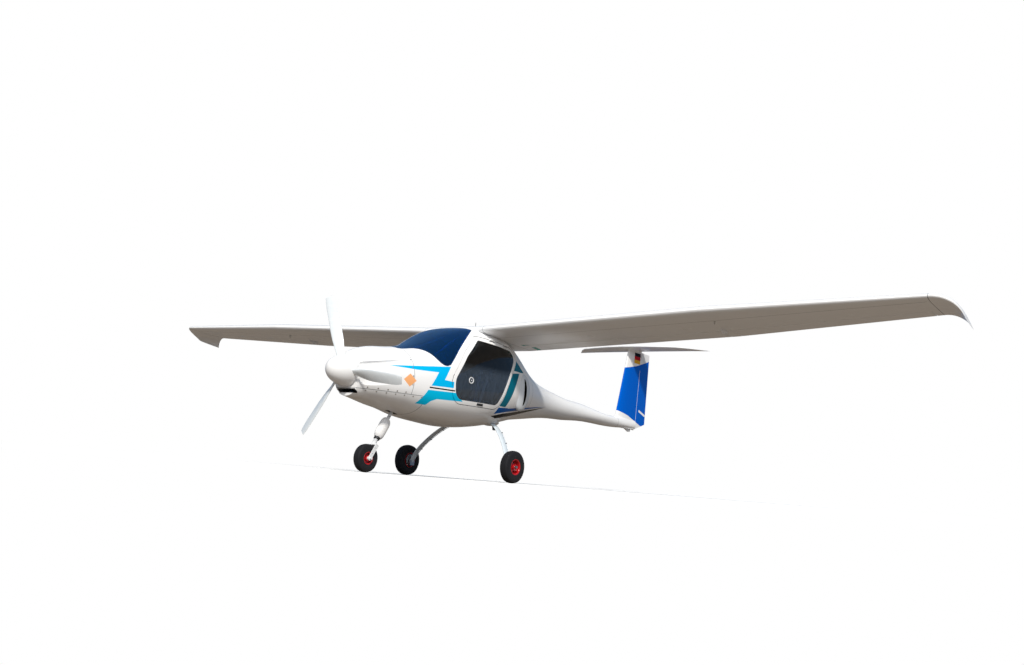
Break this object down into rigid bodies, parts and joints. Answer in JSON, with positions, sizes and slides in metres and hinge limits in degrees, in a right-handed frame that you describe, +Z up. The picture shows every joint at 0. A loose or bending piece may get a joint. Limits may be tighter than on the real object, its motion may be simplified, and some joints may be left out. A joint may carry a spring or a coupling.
{
  "type": "light aircraft",
  "caption": "Two-seat high-wing electric light aircraft with a T-tail, tricycle undercarriage, opening doors and moving control surfaces.",
  "frame": {"origin": "centre of the bounding box on the ground, under the aircraft", "axes": "+X towards the aircraft's left wing tip, -Y towards the nose, +Z up"},
  "size_m": [10.71, 6.5035, 2.1015],
  "materials": {
    "airframe_white": "gloss",
    "fairing_grey": "gloss",
    "glazing": "clear tinted",
    "blade_pale": "gloss",
    "steel_grey": "satin",
    "motor_iron": "satin",
    "battery_case": "satin",
    "tyre_black": "matte",
    "hub_red": "gloss",
    "seat_cloth": "matte",
    "cabin_trim": "matte",
    "control_black": "matte"
  },
  "bodies": {
    "airframe": {"battery_front": "battery_case", "battery_rear": "battery_case", "belly_antenna": "control_black", "cabin_floor": "cabin_trim", "centre_console": "cabin_trim", "control_sticks": "control_black", "cowl_lower": "airframe_white", "cowl_upper": "airframe_white", "fin": "airframe_white", "fuselage": "airframe_white", "horn_fairing_left": "airframe_white", "horn_fairing_right": "airframe_white", "instrument_panel": "cabin_trim", "leg_cover_left": "fairing_grey", "leg_cover_right": "fairing_grey", "main_axle_left": "steel_grey", "main_axle_right": "steel_grey", "main_leg_left": "fairing_grey", "main_leg_right": "fairing_grey", "motor": "motor_iron", "motor_mount": "steel_grey", "nose_leg": "steel_grey", "rear_bulkhead": "cabin_trim", "roof_antenna": "control_black", "rudder_pedals": "control_black", "seat_left": "seat_cloth", "seat_right": "seat_cloth", "side_scoop_left": "fairing_grey", "side_scoop_right": "fairing_grey", "tail_bumper": "airframe_white", "tailplane": "airframe_white", "windshield": "glazing", "wing_centre": "airframe_white", "wing_left": "airframe_white", "wing_right": "airframe_white", "wing_tip_left": "airframe_white", "wing_tip_right": "airframe_white"},
    "propeller": {"spinner": "airframe_white", "propeller_blades": "blade_pale", "propeller_shaft": "steel_grey"},
    "nose_steering": {"nose_fairing": "fairing_grey", "nose_fork": "steel_grey"},
    "nose_wheel": {"nose_tyre": "tyre_black", "nose_hub": "hub_red"},
    "main_wheel_left": {"main_tyre_left": "tyre_black", "main_hub_left": "hub_red"},
    "main_wheel_right": {"main_tyre_right": "tyre_black", "main_hub_right": "hub_red"},
    "door_left": {"door_left": "airframe_white", "door_window_left": "glazing"},
    "door_right": {"door_right": "airframe_white", "door_window_right": "glazing"},
    "flap_left": {"flap_left": "airframe_white"},
    "flap_right": {"flap_right": "airframe_white"},
    "aileron_left": {"aileron_left": "airframe_white"},
    "aileron_right": {"aileron_right": "airframe_white"},
    "elevator": {"elevator": "airframe_white"},
    "rudder": {"rudder": "airframe_white"}
  },
  "joints": [
    {"name": "propeller_spin", "type": "hinge", "parent": "airframe", "child": "propeller", "pos_m": [0, -3.052, 1.004], "axis": [0, 1, 0], "continuous": true},
    {"name": "nose_steer", "type": "hinge", "parent": "airframe", "child": "nose_steering", "pos_m": [0, -2.609, 0.146], "axis": [0, 0.5373, 0.8434], "range_deg": [-20, 20]},
    {"name": "nose_wheel_spin", "type": "hinge", "parent": "nose_steering", "child": "nose_wheel", "pos_m": [0, -2.609, 0.146], "axis": [1, 0, 0], "continuous": true},
    {"name": "main_wheel_left_spin", "type": "hinge", "parent": "airframe", "child": "main_wheel_left", "pos_m": [0.777, -1.114, 0.178], "axis": [1, 0, 0], "continuous": true},
    {"name": "main_wheel_right_spin", "type": "hinge", "parent": "airframe", "child": "main_wheel_right", "pos_m": [-0.777, -1.114, 0.178], "axis": [1, 0, 0], "continuous": true},
    {"name": "door_left_hinge", "type": "hinge", "parent": "airframe", "child": "door_left", "pos_m": [0.49351, -1.292, 1.56468], "axis": [-0.0275, -0.9964, 0.0802], "range_deg": [0, 75]},
    {"name": "door_right_hinge", "type": "hinge", "parent": "airframe", "child": "door_right", "pos_m": [-0.49351, -1.292, 1.56468], "axis": [-0.0275, 0.9964, -0.0802], "range_deg": [0, 75]},
    {"name": "flap_left_hinge", "type": "hinge", "parent": "airframe", "child": "flap_left", "pos_m": [0.52, -0.68577, 1.63209], "axis": [0.999, 0, 0.045], "range_deg": [-19, 0]},
    {"name": "flap_right_hinge", "type": "hinge", "parent": "airframe", "child": "flap_right", "pos_m": [-0.52, -0.68577, 1.63209], "axis": [0.999, 0, -0.045], "range_deg": [-19, 0]},
    {"name": "aileron_left_hinge", "type": "hinge", "parent": "airframe", "child": "aileron_left", "pos_m": [3.085, -0.68654, 1.74768], "axis": [0.9976, -0.0515, 0.0466], "range_deg": [-20, 20]},
    {"name": "aileron_right_hinge", "type": "hinge", "parent": "airframe", "child": "aileron_right", "pos_m": [-3.085, -0.68654, 1.74768], "axis": [0.9976, 0.0515, -0.0466], "range_deg": [-20, 20]},
    {"name": "elevator_hinge", "type": "hinge", "parent": "airframe", "child": "elevator", "pos_m": [0, 2.84, 2.07517], "axis": [1, 0, 0], "range_deg": [-20, 20]},
    {"name": "rudder_hinge", "type": "hinge", "parent": "airframe", "child": "rudder", "pos_m": [0, 2.88606, 0.894], "axis": [0, 0.0823, 0.9966], "range_deg": [-25, 25]}
  ],
  "couplings": [
    {"joint": "flap_right_hinge", "follows": "flap_left_hinge", "ratio": 1},
    {"joint": "aileron_right_hinge", "follows": "aileron_left_hinge", "ratio": -1},
    {"joint": "rudder_hinge", "follows": "nose_steer", "ratio": -1.25}
  ]
}
